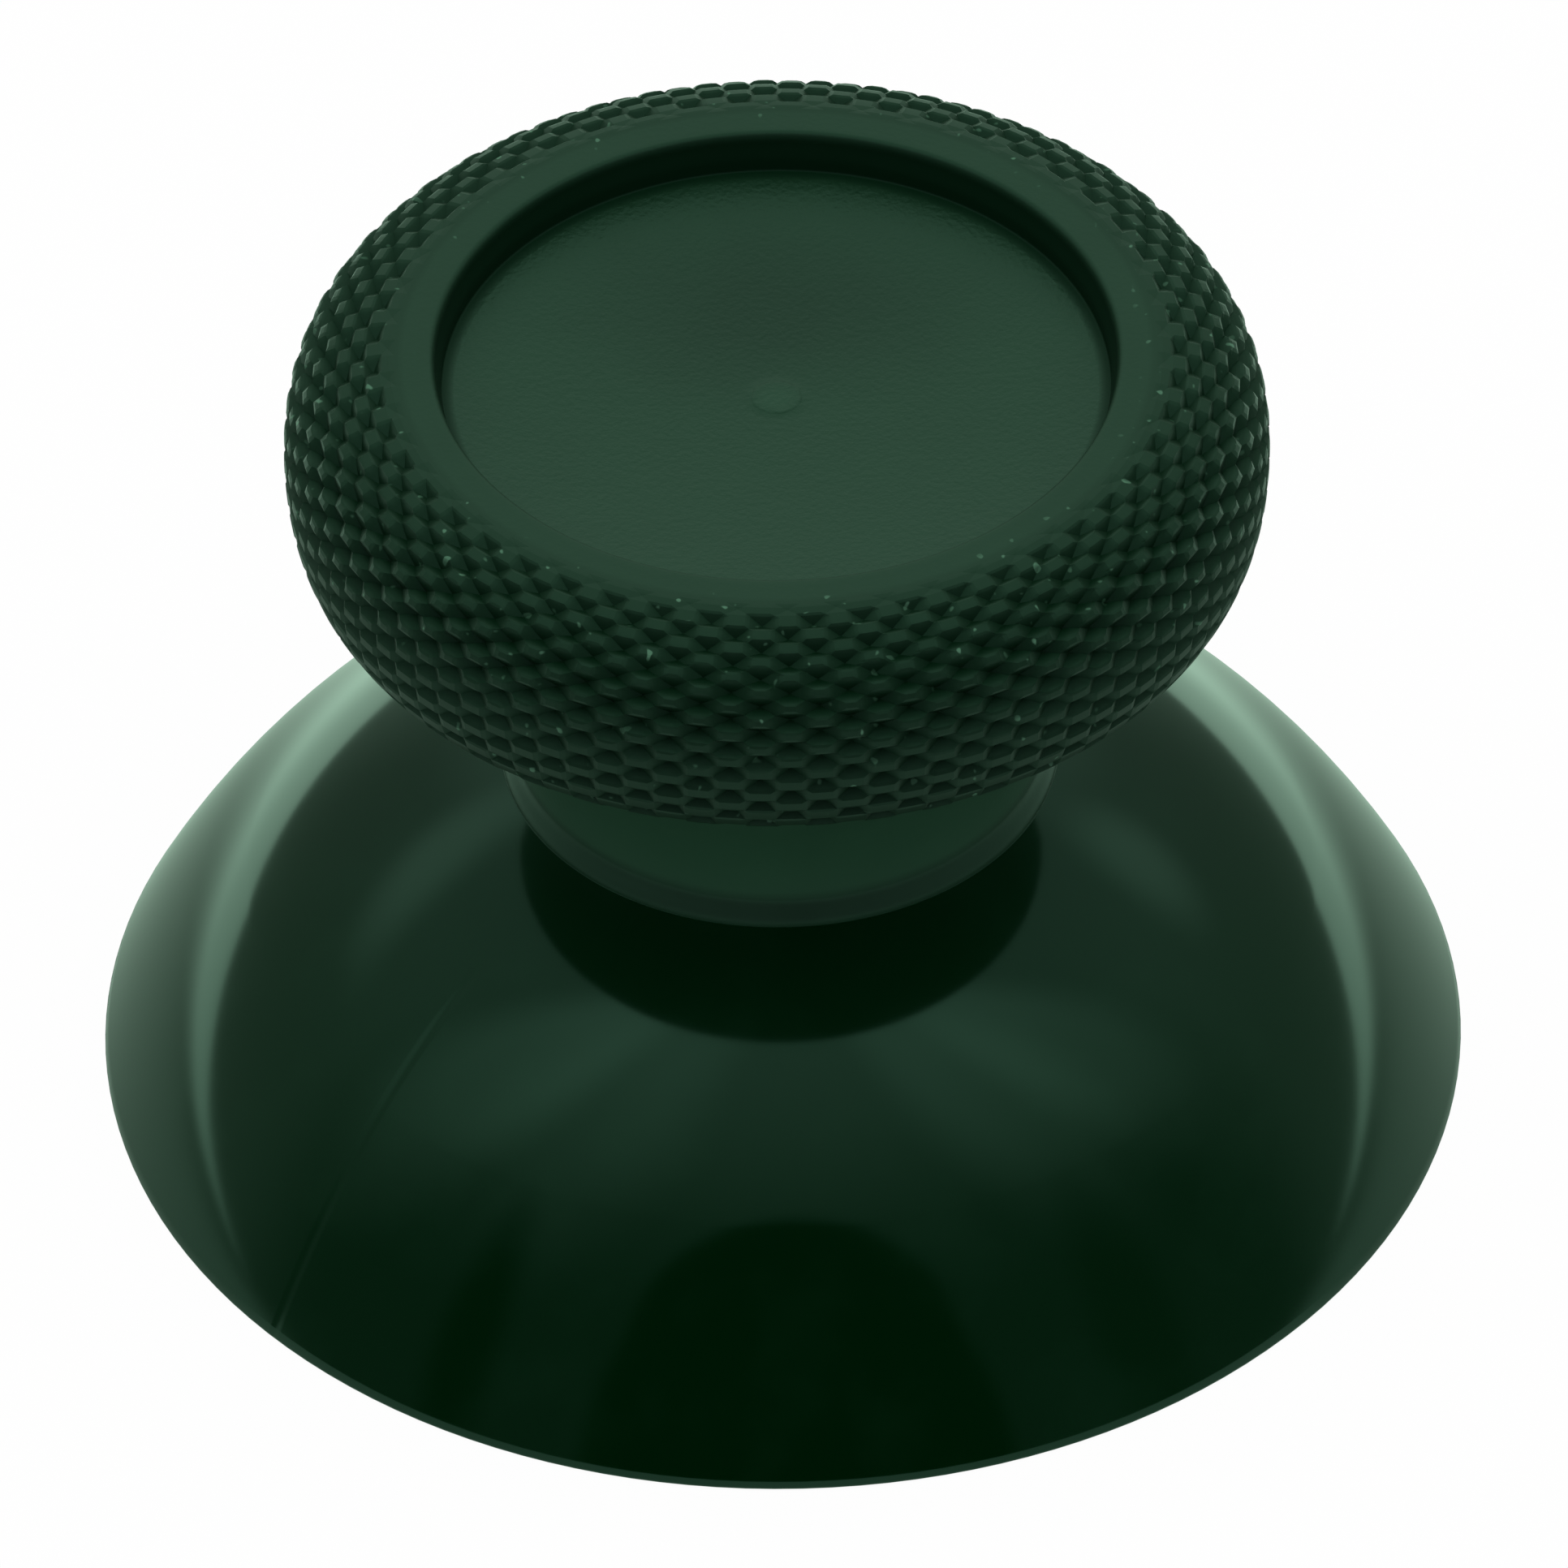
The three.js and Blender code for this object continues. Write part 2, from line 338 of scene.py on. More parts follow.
@dataclass
class Head:
    """The neck, the knurled head, the ring and the recess, in millimetres.

    The near and far values place the inner corners of the three cubic curves, as
    shares of the way across and up.
    """

    top: float
    radius: float = 8.575
    waist: float = 4.7
    widest_depth: float = 2.0
    knurl_end_depth: float = 3.7
    knurl_end_inset: float = 0.38
    ring_radius: float = 6.7
    recess_radius: float = 5.95
    recess_wall: float = 0.75
    recess_dish: float = 0.25
    recess_draft: float = 0.13
    edge: float = 0.1
    root_edge: float = 0.04
    gate_radius: float = 0.45
    gate_height: float = 0.012
    gate_slope: float = 0.04
    gate_rounding: float = 0.03
    gate_middle: float = 0.2
    lower_near: tuple[float, float] = (0.2, 0.23)
    lower_far: float = 0.6
    upper_near: float = 0.68
    upper_far: tuple[float, float] = (0.63, 0.89)
    neck_near: float = 0.42
    neck_far: tuple[float, float] = (0.49, 0.67)

    def curve(self) -> Points:
        """The flat tops' surface: one curve up to the widest level and one over the shoulder.

        Returns:
            Points of radius and height, from the knurl's lower end to the ring.
        """
        widest = (self.radius, self.top - self.widest_depth)
        end = (self.radius - self.knurl_end_inset, self.top - self.knurl_end_depth)
        below = widest[1] - end[1]
        above = self.top - widest[1]
        across = self.radius - self.ring_radius
        lower = bezier([
            end,
            (self.radius - self.lower_near[0] * self.knurl_end_inset,
             end[1] + self.lower_near[1] * below),
            (self.radius, end[1] + self.lower_far * below),
            widest,
        ], 300)
        upper = bezier([
            widest,
            (self.radius, widest[1] + self.upper_near * above),
            (self.ring_radius + self.upper_far[0] * across, widest[1] + self.upper_far[1] * above),
            (self.ring_radius, self.top),
        ], 300)
        return np.vstack([lower, upper[1:]])

    def neck(self, start: Points, end: Points) -> Points:
        """The hollow curve from the bead up to the knurl, ends left out.

        Args:
            start: The bead's last point.
            end: The knurl's first point.

        Returns:
            Points of radius and height.
        """
        rise = end[1] - start[1]
        flare = end[0] - start[0]
        return bezier([
            tuple(start),
            (start[0], start[1] + self.neck_near * rise),
            (start[0] + self.neck_far[0] * flare, start[1] + self.neck_far[1] * rise),
            tuple(end),
        ], 32)[1:-1]

    def ring(self, start: Points) -> Points:
        """The flat ring from the knurl's last point in, and its rounded inner edge.

        Args:
            start: The knurl's last point.

        Returns:
            Points of radius and height.
        """
        edge = [self.recess_radius, self.top]
        wall = [self.recess_radius - self.recess_draft, self.top - self.recess_wall]
        return np.vstack([
            straight(start, [self.recess_radius + 2.0 * self.edge, self.top], 4),
            rounded(start, edge, wall, self.edge, 6),
        ])

    def wall(self) -> Points:
        """The recess's wall from below its rounded edge, with its rounded root.

        Returns:
            Points of radius and height.
        """
        edge = [self.recess_radius, self.top - self.edge]
        root = [self.recess_radius - self.recess_draft, self.top - self.recess_wall]
        return np.vstack([
            straight(edge, [root[0], root[1] + 2.0 * self.edge], 4),
            rounded(edge, root, [0.0, root[1]], self.root_edge, 4),
        ])

    def recess(self) -> Points:
        """The recess's floor from its root on, which dishes towards the gate mark.

        The dish deepens as one less the square of the share of the way out.

        Returns:
            Points of radius and height.
        """
        floor = self.top - self.recess_wall
        start = self.recess_radius - self.recess_draft - self.root_edge
        across = np.linspace(start, self.gate_radius, 30)[1:]
        dish = floor - self.recess_dish * (1.0 - (across / start) ** 2)
        gate = [self.gate_radius, dish[-1]]
        crest = [self.gate_radius - self.gate_slope, dish[-1] + self.gate_height]
        return np.vstack([
            np.stack([across, dish], axis=1),
            rounded(gate, crest, [0.0, crest[1]], self.gate_rounding, 3),
            [[self.gate_middle, crest[1]]],
        ])


@dataclass
class Knurl:
    """The knurl: dimples that leave small flat tops, with lengths in millimetres.

    Columns are half a pitch apart round the head, and levels are evenly spaced
    along the head's curve. A top lies where a column and a level of equal
    parity cross, and the middle of a dimple where their parities differ. Each
    tuple gives a setting at the levels that the first one names.
    """

    count: int = 50
    fine: int = 6
    rows: int = 112
    first_level: float = -5.0 / 6.0
    ring_level: float = 17.2
    # How soft the edge of each dimple's painted shade is, in half pitches.
    painted_shade_edge: float = 0.24
    levels: tuple[float, ...] = (-1.0, 0.0, 2.0, 5.0, 8.0, 12.0, 15.0, 16.0, 17.0, 18.0)
    reaches: tuple[float, ...] = (0.5, 0.5, 0.56, 0.66, 0.74, 0.72, 0.62, 0.6, 0.5, 0.0)
    falls: tuple[float, ...] = (0.34, 0.36, 0.34, 0.32, 0.34, 0.3, 0.26, 0.24, 0.04, 0.0)
    # Painted shade: how dark each dimple is coloured, standing in for the shade that falls in it,
    # and below that how dark the lower rows, which face down, are coloured.
    painted_dimple_shades: tuple[float, ...] = (0.6, 0.65, 0.7, 0.75, 0.8, 0.7, 0.6, 0.5, 0.04, 0.0)
    painted_low_shades: tuple[float, ...] = (0.1, 0.3, 0.4, 0.4, 0.15, 0.05, 0.0, 0.0, 0.0, 0.0)

    @property
    def columns(self) -> int:
        """Grid columns round the head."""
        return 2 * self.count * self.fine

    @property
    def level_of_row(self) -> Points:
        """Level of each grid row, from the neck up to a little past the ring's edge."""
        return self.first_level + np.arange(self.rows) / self.fine

    def dimples(self, column: Points, level: Points) -> tuple[Points, Points]:
        """How deep each point is sunk in a dimple, and how much painted shade it gets.

        The two slanting coordinates, rising and falling, are whole numbers at a
        top, and a point lies off the nearest top by first and second along them.
        Their sum grows in squares round the top, and the root of their squares
        in circles. The settings follow the dimple's own level, so that both ends
        of the knurl fade.

        Args:
            column: Column of each point, in half pitches.
            level: Level of each point.

        Returns:
            Depths, and painted shade from 0 to 1, darker in the dimples and on the lower rows.
        """
        rising = (column + level) / 2.0
        falling = (column - level) / 2.0
        first = np.abs(rising - np.round(rising))
        second = np.abs(falling - np.round(falling))
        home = np.floor(rising) - np.floor(falling)
        top = 1.0 - np.interp(home, self.levels, self.reaches)
        depth = np.maximum(first + second - top, 0.0)
        circle = np.sqrt(2.0 * (first**2 + second**2))
        # Painted shade inside each dimple, and on the lower rows that face down.
        inside = np.clip((circle - top) / self.painted_shade_edge, 0.0, 1.0)
        inside = inside * np.interp(home, self.levels, self.painted_dimple_shades)
        return (depth * np.interp(home, self.levels, self.falls),
                np.maximum(inside, np.interp(level, self.levels, self.painted_low_shades)))

    def surface(self, head: Head) -> tuple[Points, Points, Points]:
        """Radius and height of the knurled grid, and its painted shade.

        Args:
            head: The head whose curve carries the flat tops.

        Returns:
            Radii, heights and painted shade, with a row for each grid row.
        """
        curve = head.curve()
        flat = straight(curve[-1], [head.recess_radius, head.top], 60)
        path = np.vstack([curve, flat])
        steps = np.hypot(*np.diff(path, axis=0).T)
        length = np.concatenate([[0.0], np.cumsum(steps)])
        level = self.level_of_row
        pitch = length[len(curve) - 1] / (self.ring_level - self.first_level)
        place = (level - self.first_level) * pitch
        radius = np.interp(place, length, path[:, 0])
        height = np.interp(place, length, path[:, 1])
        along = np.stack([np.gradient(radius), np.gradient(height)], axis=1)
        along /= np.hypot(*along.T)[:, None]
        column = np.arange(self.columns) / self.fine
        inward, painted_shade = self.dimples(column[None, :], level[:, None])
        return (radius[:, None] - along[:, 1:] * inward,
                height[:, None] + along[:, :1] * inward, painted_shade)

    def faces(self, first: int) -> Points:
        """Triangles of the knurled grid, cut along the dimples' creases.

        Args:
            first: Index of the grid's first vertex.

        Returns:
            An array with three vertex indices a row.
        """
        row, column = np.meshgrid(np.arange(self.rows - 1), np.arange(self.columns), indexing="ij")
        after = (column + 1) % self.columns
        a = first + row * self.columns + column
        b = first + row * self.columns + after
        c, d = b + self.columns, a + self.columns
        step = row + round(self.first_level * self.fine)
        down, across = step % self.fine, column % self.fine
        even = (step // self.fine + column // self.fine) % 2 == 0
        ridge = np.where(even, down == across, down + across == self.fine - 1)
        falls = even ^ ridge
        lower = np.where(falls[..., None], np.stack([a, b, d], -1), np.stack([a, b, c], -1))
        upper = np.where(falls[..., None], np.stack([b, c, d], -1), np.stack([a, c, d], -1))
        return np.concatenate([lower.reshape(-1, 3), upper.reshape(-1, 3)])


class Value:
    """A shader socket that takes part in Python sums."""

    def __init__(self, graph: "Graph", socket: bpy.types.NodeSocket) -> None:
        """Holds the socket and the graph that it belongs to."""
        self.graph = graph
        self.socket = socket

    def apply(self, operation: str, *others: object) -> "Value":
        """A Math node on this value.

        Args:
            operation: The Math node's operation.
            others: Its further values or numbers.

        Returns:
            The node's result.
        """
        inputs = dict(enumerate((self, *others)))
        return self.graph.node("ShaderNodeMath", {"operation": operation}, inputs)

    def __add__(self, other: object) -> "Value":
        """This value plus another."""
        return self.apply("ADD", other)

    def __sub__(self, other: object) -> "Value":
        """This value less another."""
        return self.apply("SUBTRACT", other)

    def __rsub__(self, other: float) -> "Value":
        """A number less this value."""
        return self.graph.node("ShaderNodeMath", {"operation": "SUBTRACT"}, {0: other, 1: self})

    def __mul__(self, other: object) -> "Value":
        """This value times another."""
        return self.apply("MULTIPLY", other)

    def __truediv__(self, other: object) -> "Value":
        """This value over another."""
        return self.apply("DIVIDE", other)

    def __abs__(self) -> "Value":
        """The value without its sign."""
        return self.apply("ABSOLUTE")

    def ease(self, low: float, high: float) -> "Value":
        """0 below low, 1 above high, and a smooth step between.

        Args:
            low: Where the step starts.
            high: Where the step ends, which may be below low to turn it round.

        Returns:
            The eased value.
        """
        settings = {"interpolation_type": "SMOOTHSTEP"}
        if low < high:
            return self.graph.node("ShaderNodeMapRange", settings, {0: self, 1: low, 2: high})
        return 1.0 - self.ease(high, low)


class Graph:
    """The node tree of one material or world."""

    def __init__(self, tree: bpy.types.NodeTree) -> None:
        """Empties the tree."""
        self.tree = tree
        tree.nodes.clear()

    def node(self, kind: str, settings: dict[str, object] | None = None,
             inputs: dict[int | str, object] | None = None, output: int | str = 0) -> Value:
        """Adds a node.

        Args:
            kind: The node's type.
            settings: Its properties, which are set first.
            inputs: Numbers, colours or values for its sockets, by name or place.
            output: Name or place of the socket that is returned.

        Returns:
            The output socket, wrapped.
        """
        made = self.tree.nodes.new(kind)
        for name, setting in (settings or {}).items():
            setattr(made, name, setting)
        for key, given in (inputs or {}).items():
            if isinstance(given, Value):
                self.tree.links.new(given.socket, made.inputs[key])
            else:
                made.inputs[key].default_value = given
        return Value(self, made.outputs[output]) if made.outputs else Value(self, None)

    def attribute(self, name: str) -> Value:
        """The number that the mesh holds under name."""
        return self.node("ShaderNodeAttribute", {"attribute_name": name}, output="Fac")

    def position(self) -> Value:
        """The point's place in the object."""
        return self.node("ShaderNodeTexCoord", output="Object")

    def axes(self, vector: Value) -> tuple[Value, Value, Value]:
        """The three numbers of a vector."""
        split = self.node("ShaderNodeSeparateXYZ", inputs={0: vector}).socket.node
        return tuple(Value(self, socket) for socket in split.outputs)

    def noise(self, place: Value, scale: float, detail: float = 2.0) -> Value:
        """Smooth noise from 0 to 1, with scale bumps to the metre."""
        return self.node("ShaderNodeTexNoise", None,
                         {"Vector": place, "Scale": scale, "Detail": detail})

    def mix(self, share: Value | float, low: object, high: object) -> Value:
        """The colour low where share is 0 and high where it is 1."""
        return self.node("ShaderNodeMix", {"data_type": "RGBA"},
                         {0: share, 6: low, 7: high}, output=2)


@dataclass(frozen=True)
class GreenPlastic:
    """Dark green moulded plastic, polished on the skirt and matte in the recess.

    Lengths are in metres, and a scale is a number of bumps to the metre.
    """

    colour: tuple[float, float, float, float] = (0.0001, 0.0092, 0.0016, 1.0)
    pale_colour: tuple[float, float, float, float] = (0.021, 0.078, 0.039, 1.0)
    # Colour of the dust specks and painted glints on the head.
    glint_and_speck_colour: tuple[float, float, float, float] = (0.06, 0.15, 0.09, 1.0)
    # Colour and gloss of the painted shade in the dimples and on the recess's wall.
    painted_shade_colour: tuple[float, float, float, float] = (0.0004, 0.0125, 0.0035, 1.0)
    painted_shade_gloss: float = 0.25
    sheen_tint: tuple[float, float, float, float] = (0.62, 1.0, 0.88, 1.0)
    matte_roughness: float = 0.5
    polished_roughness: float = 0.1
    grain_scale: float = 9000.0
    grain_height: float = 0.000012
    ripple_scale: float = 420.0
    ripple_height: float = 0.000002
    mottle_scale: float = 600.0
    mottle_pale: float = 0.12
    mottle_rough: float = 0.04
    glint_speck_scale: float = 5200.0
    glint_speck_radius: float = 0.0062
    glint_speck_level: float = 0.0115
    glint_speck_start: float = 0.77
    glint_speck_full: float = 0.84
    seam_turn: float = -49.7
    seam_width: float = 0.00014
    seam_depth: float = 0.000005
    seam_top: float = 0.006
    # Size, place and strength of the painted shade patch behind the gate.
    shade_patch_across: float = 0.004
    shade_patch_along: float = 0.0028
    shade_patch_back: float = 0.0023
    shade_patch_reach: float = 1.2
    shade_patch_level: float = 0.2
    gate_pale: float = 0.14
    gate_reach: float = 0.0006
    gate_core: float = 0.0001

    def seam(self, graph: Graph, place: Value) -> Value:
        """The mould's parting line, a fine groove down the skirt on two sides.

        Args:
            graph: The material's graph.
            place: The point's place.

        Returns:
            1 on the line, falling to 0 a line's width away from it.
        """
        x, y, z = graph.axes(place)
        turn = math.radians(self.seam_turn)
        off = abs(x * math.cos(turn) + y * math.sin(turn))
        return off.ease(self.seam_width, 0.0) * z.ease(self.seam_top, 0.9 * self.seam_top)

    def gate_and_shade_patch(self, graph: Graph, place: Value) -> Value:
        """The gate mark, which is paler, and a painted shade behind it: a darker patch that stands
        in for the recess floor's dim reflection.

        Args:
            graph: The material's graph.
            place: The point's place.

        Returns:
            What the gate mark and the painted shade add to the paleness.
        """
        x, y, _ = graph.axes(place)
        across = x / self.shade_patch_across
        along = (y - self.shade_patch_back) / self.shade_patch_along
        patch = (across * across + along * along).apply("SQRT").ease(self.shade_patch_reach, 0.0)
        gate = (x * x + y * y).apply("SQRT").ease(self.gate_reach, self.gate_core)
        return gate * self.gate_pale - patch * self.shade_patch_level

    def glints_and_specks(self, graph: Graph, place: Value) -> Value:
        """Fine pale spots on the head, outside the recess and above its lower end: dust specks and
        painted glints.

        Args:
            graph: The material's graph.
            place: The point's place.

        Returns:
            1 on each pale spot and 0 elsewhere.
        """
        x, y, z = graph.axes(place)
        radius = (x * x + y * y).apply("SQRT")
        outside = radius.ease(self.glint_speck_radius, self.glint_speck_radius + 0.5 * MM)
        glint_speck = graph.noise(place, self.glint_speck_scale, 0.0).ease(self.glint_speck_start, self.glint_speck_full)
        return glint_speck * outside * z.ease(self.glint_speck_level, self.glint_speck_level + MM)

    def dress(self, piece: bpy.types.Object) -> None:
        """Gives the piece its one material.

        Where the mesh carries painted shade, in the dimples, on the knurl's lower rows
        and on the recess's wall, a darker and duller copy of the plastic is mixed in as painted
        shade.

        Args:
            piece: The cap.
        """
        material = bpy.data.materials.new("green_moulded_plastic")
        material.use_nodes = True
        graph = Graph(material.node_tree)
        place = graph.position()
        polish = graph.attribute("polish")
        grain = graph.attribute("grain")
        mottle = graph.noise(place, self.mottle_scale, 3.0)
        fine = graph.noise(place, self.grain_scale, 2.0)
        ripple = graph.noise(place, self.ripple_scale, 1.0)
        pale = graph.attribute("pale") + (mottle - 0.5) * self.mottle_pale
        # The gate mark's paleness, and a painted shade patch behind it.
        pale = pale + self.gate_and_shade_patch(graph, place) * grain
        colour = graph.mix(pale, self.colour, self.pale_colour)
        # Pale spots: dust specks and painted glints.
        colour = graph.mix(self.glints_and_specks(graph, place), colour, self.glint_and_speck_colour)
        spread = self.matte_roughness - self.polished_roughness
        roughness = self.matte_roughness - polish * spread + (mottle - 0.5) * self.mottle_rough
        relief = fine * grain * self.grain_height + ripple * polish * self.ripple_height
        relief = relief - self.seam(graph, place) * self.seam_depth
        normal = graph.node("ShaderNodeBump", None,
                            {"Strength": 1.0, "Distance": 1.0, "Height": relief})
        surface = graph.node("ShaderNodeBsdfPrincipled", None, {
            "Base Color": colour,
            "Roughness": roughness,
            "Specular Tint": self.sheen_tint,
            "Normal": normal,
        })
        # A darker, duller copy of the same plastic: painted shade for the dimples and the recess's
        # wall.
        shade_copy = graph.node("ShaderNodeBsdfPrincipled", None, {
            "Base Color": self.painted_shade_colour,
            "Roughness": self.matte_roughness,
            "Specular IOR Level": self.painted_shade_gloss,
            "Specular Tint": self.sheen_tint,
        })
        surface = graph.node("ShaderNodeMixShader", None,
                             {0: graph.attribute("painted_shade"), 1: surface, 2: shade_copy})
        graph.node("ShaderNodeOutputMaterial", None, {"Surface": surface})
        piece.data.materials.append(material)


@dataclass
class Cap:
    """The whole moulding as one closed grid."""

    skirt: Skirt
    head: Head
    boss: Boss = field(default_factory=Boss)
    knurl: Knurl = field(default_factory=Knurl)
    finish: GreenPlastic = field(default_factory=GreenPlastic)
    columns: int = 150

    @classmethod
    def from_frame(cls) -> "Cap":
        """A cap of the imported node's size.

        Returns:
            The cap, not yet built.
        """
        low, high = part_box(NODE)
        radius = (high[0] - low[0]) / 2.0 / MM
        return cls(Skirt(radius=radius), Head(top=high[2] / MM))

    def below_knurl(self, knurl_start: Points) -> list[Stretch]:
        """The profile from the socket's floor to the knurl's first level.

        Args:
            knurl_start: The knurl's first point.

        Returns:
            The stretches in order.
        """
        bead = self.skirt.bead(self.head.waist)
        rim_face = straight([self.skirt.radius - self.skirt.wall + 0.2, 0.0],
                            [self.skirt.radius - 2.0 * self.skirt.rim_rounding, 0.0], 3)
        return [
            *self.boss.stretches(),
            Stretch(self.skirt.hollow(self.boss.radius, self.boss.end), Finish.HOLLOW),
            Stretch(rim_face, Finish.HOLLOW),
            Stretch(self.skirt.outside(), Finish.SKIRT),
            Stretch(bead, Finish.BEAD),
            # Paleness rising from 0.6 of the neck's at the bead to all of it: painted shade at the
            # neck's foot and painted light towards the head.
            Stretch(self.head.neck(bead[-1], knurl_start), Finish.NECK, start_share=0.6),
        ]

    def above_knurl(self, knurl_end: Points) -> list[Stretch]:
        """The profile from the knurl's last row to the middle of the recess.

        Args:
            knurl_end: The knurl's last point.

        Returns:
            The stretches in order.
        """
        return [
            Stretch(self.head.ring(knurl_end), Finish.RING),
            # The recess's wall is darkened all over as painted shade.
            Stretch(self.head.wall(), Finish.WALL, painted_shade=1.0),
            Stretch(self.head.recess(), Finish.RECESS),
        ]

    def rings(self, stretches: list[Stretch]) -> tuple[Points, Points]:
        """Turns a profile into rings of points.

        A point at turn t stands at radius times (sin t, -cos t), so that the
        first column faces the front.

        Args:
            stretches: The profile's stretches in order.

        Returns:
            The points, and a row of polish, grain, paleness and painted shade for each.
        """
        turn = np.arange(self.columns) * 2.0 * math.pi / self.columns
        rings, finishes = [], []
        for stretch in stretches:
            share = stretch.points[:, :1]
            if stretch.bore:
                radius = np.stack([self.boss.outline(turn, s) for s in share[:, 0]])
            else:
                radius = np.repeat(share, self.columns, axis=1)
            height = np.repeat(stretch.points[:, 1:], self.columns, axis=1)
            points = np.stack([radius * np.sin(turn), -radius * np.cos(turn), height], -1)
            rings.append(points.reshape(-1, 3))
            coats = self.coats(stretch.finish, radius.size, stretch.painted_shade)
            coats[:, 2] *= np.linspace(stretch.start_share, 1.0, radius.size)
            finishes.append(coats)
        return np.concatenate(rings), np.concatenate(finishes)

    @staticmethod
    def coats(finish: Finish, count: int, painted_shade: float = 0.0) -> Points:
        """The finish's polish, grain and paleness and the painted shade, in count equal rows."""
        return np.tile([finish.polish, finish.grain, finish.pale, painted_shade], (count, 1))

    def quads(self, first: int, rows: int) -> Points:
        """Four-sided faces between neighbouring rings, facing out.

        Args:
            first: Index of the first ring's first vertex.
            rows: How many rings there are.

        Returns:
            An array with four vertex indices a row.
        """
        row, column = np.meshgrid(np.arange(rows - 1), np.arange(self.columns), indexing="ij")
        a = first + row * self.columns + column
        b = first + row * self.columns + (column + 1) % self.columns
        return np.stack([a, b, b + self.columns, a + self.columns], -1).reshape(-1, 4)

    def seams(self, coarse: int, fine: int, fine_above: bool) -> Points:
        """Faces that join a coarse ring to a fine one.

        Args:
            coarse: First vertex of the coarse ring.
            fine: First vertex of the fine ring.
            fine_above: Whether the fine ring lies further along the profile.

        Returns:
            Vertex indices with one face a row.
        """
        ratio = self.knurl.columns // self.columns
        column = np.arange(self.columns)[:, None]
        small = fine + (column * ratio + np.arange(ratio + 1)) % self.knurl.columns
        large = coarse + (column + np.array([0, 1])) % self.columns
        if fine_above:
            return np.concatenate([large, small[:, ::-1]], axis=1)
        return np.concatenate([small, large[:, ::-1]], axis=1)

    def build(self) -> bpy.types.Object:
        """Makes the cap's mesh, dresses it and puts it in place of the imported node.

        Returns:
            The finished piece.
        """
        radius, height, painted_shade = self.knurl.surface(self.head)
        turn = np.arange(self.knurl.columns) * 2.0 * math.pi / self.knurl.columns
        knurled = np.stack([radius * np.sin(turn), -radius * np.cos(turn), height], -1)
        start = np.array([radius[0].mean(), height[0].mean()])
        end = np.array([radius[-1].mean(), height[-1].mean()])
        below, below_coats = self.rings(self.below_knurl(start))
        above, above_coats = self.rings(self.above_knurl(end))
        first_knurl = len(below)
        first_above = first_knurl + painted_shade.size
        total = first_above + len(above)
        last_fine = first_above - self.knurl.columns
        points = np.concatenate([below, knurled.reshape(-1, 3), above])
        low = [0.0, 0.0, self.boss.end + self.boss.socket_depth]
        middle = [0.0, 0.0, above[-1, 2]]
        points = np.concatenate([points, [low, middle]]) * MM
        column = np.arange(self.columns)
        after = (column + 1) % self.columns
        last = total - self.columns
        before = [
            *np.stack([np.full_like(column, total), after, column], -1).tolist(),
            *self.quads(0, len(below) // self.columns).tolist(),
            *self.seams(first_knurl - self.columns, first_knurl, True).tolist(),
        ]
        knurled_faces = self.knurl.faces(first_knurl).tolist()
        beyond = [
            *self.seams(first_above, last_fine, False).tolist(),
            *self.quads(first_above, len(above) // self.columns).tolist(),
            *np.stack([last + column, last + after, np.full_like(column, total + 1)], -1).tolist(),
        ]
        mesh = bpy.data.meshes.new("cap")
        mesh.from_pydata(points, [], before + knurled_faces + beyond)
        smooth = np.ones(len(mesh.polygons), bool)
        smooth[len(before):len(before) + len(knurled_faces)] = False
        mesh.polygons.foreach_set("use_smooth", smooth)
        coats = np.concatenate([
            below_coats, self.coats(Finish.KNURL, painted_shade.size), above_coats,
            self.coats(Finish.HOLLOW, 1), self.coats(Finish.RECESS, 1),
        ])
        # The knurl's painted shade, darker in the dimples and on the lower rows.
        coats[first_knurl:first_above, 3] = painted_shade.ravel()
        for place, name in enumerate(("polish", "grain", "pale", "painted_shade")):
            self.store(mesh, name, coats[:, place])
        piece = bpy.data.objects.new("cap", mesh)
        bpy.context.collection.objects.link(piece)
        self.finish.dress(piece)
        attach(piece, BODY)
        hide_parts(NODE)
        return piece

    @staticmethod
    def store(mesh: bpy.types.Mesh, name: str, values: Points) -> None:
        """Writes one number for each vertex into the mesh under name."""
        layer = mesh.attributes.new(name, "FLOAT", "POINT")
        layer.data.foreach_set("value", values.astype(np.float32))


@dataclass(frozen=True)
class Panel:
    """A soft patch of light or shade round the cap, with its sizes in degrees.

    A leaning panel moves sideways by lean degrees for each degree it rises.
    """

    azimuth: float
    elevation: float
    half_width: float
    half_height: float
    blur: float
    level: float
    lean: float = 0.0

    def mask(self, azimuth: Value, elevation: Value) -> Value:
        """The panel's level inside its ellipse and 0 outside, eased over its blur.

        Args:
            azimuth: Direction round the cap from the front, in degrees.
            elevation: Direction above the horizon, in degrees.

        Returns:
            The level at each direction.
        """
        rise = elevation - self.elevation
        turn = (azimuth - self.azimuth - rise * self.lean).apply("WRAP", 180.0, -180.0)
        across = turn / self.half_width
        up = rise / self.half_height
        off = (across * across + up * up).apply("SQRT")
        return off.ease(1.0 + self.blur, 1.0 - self.blur) * self.level


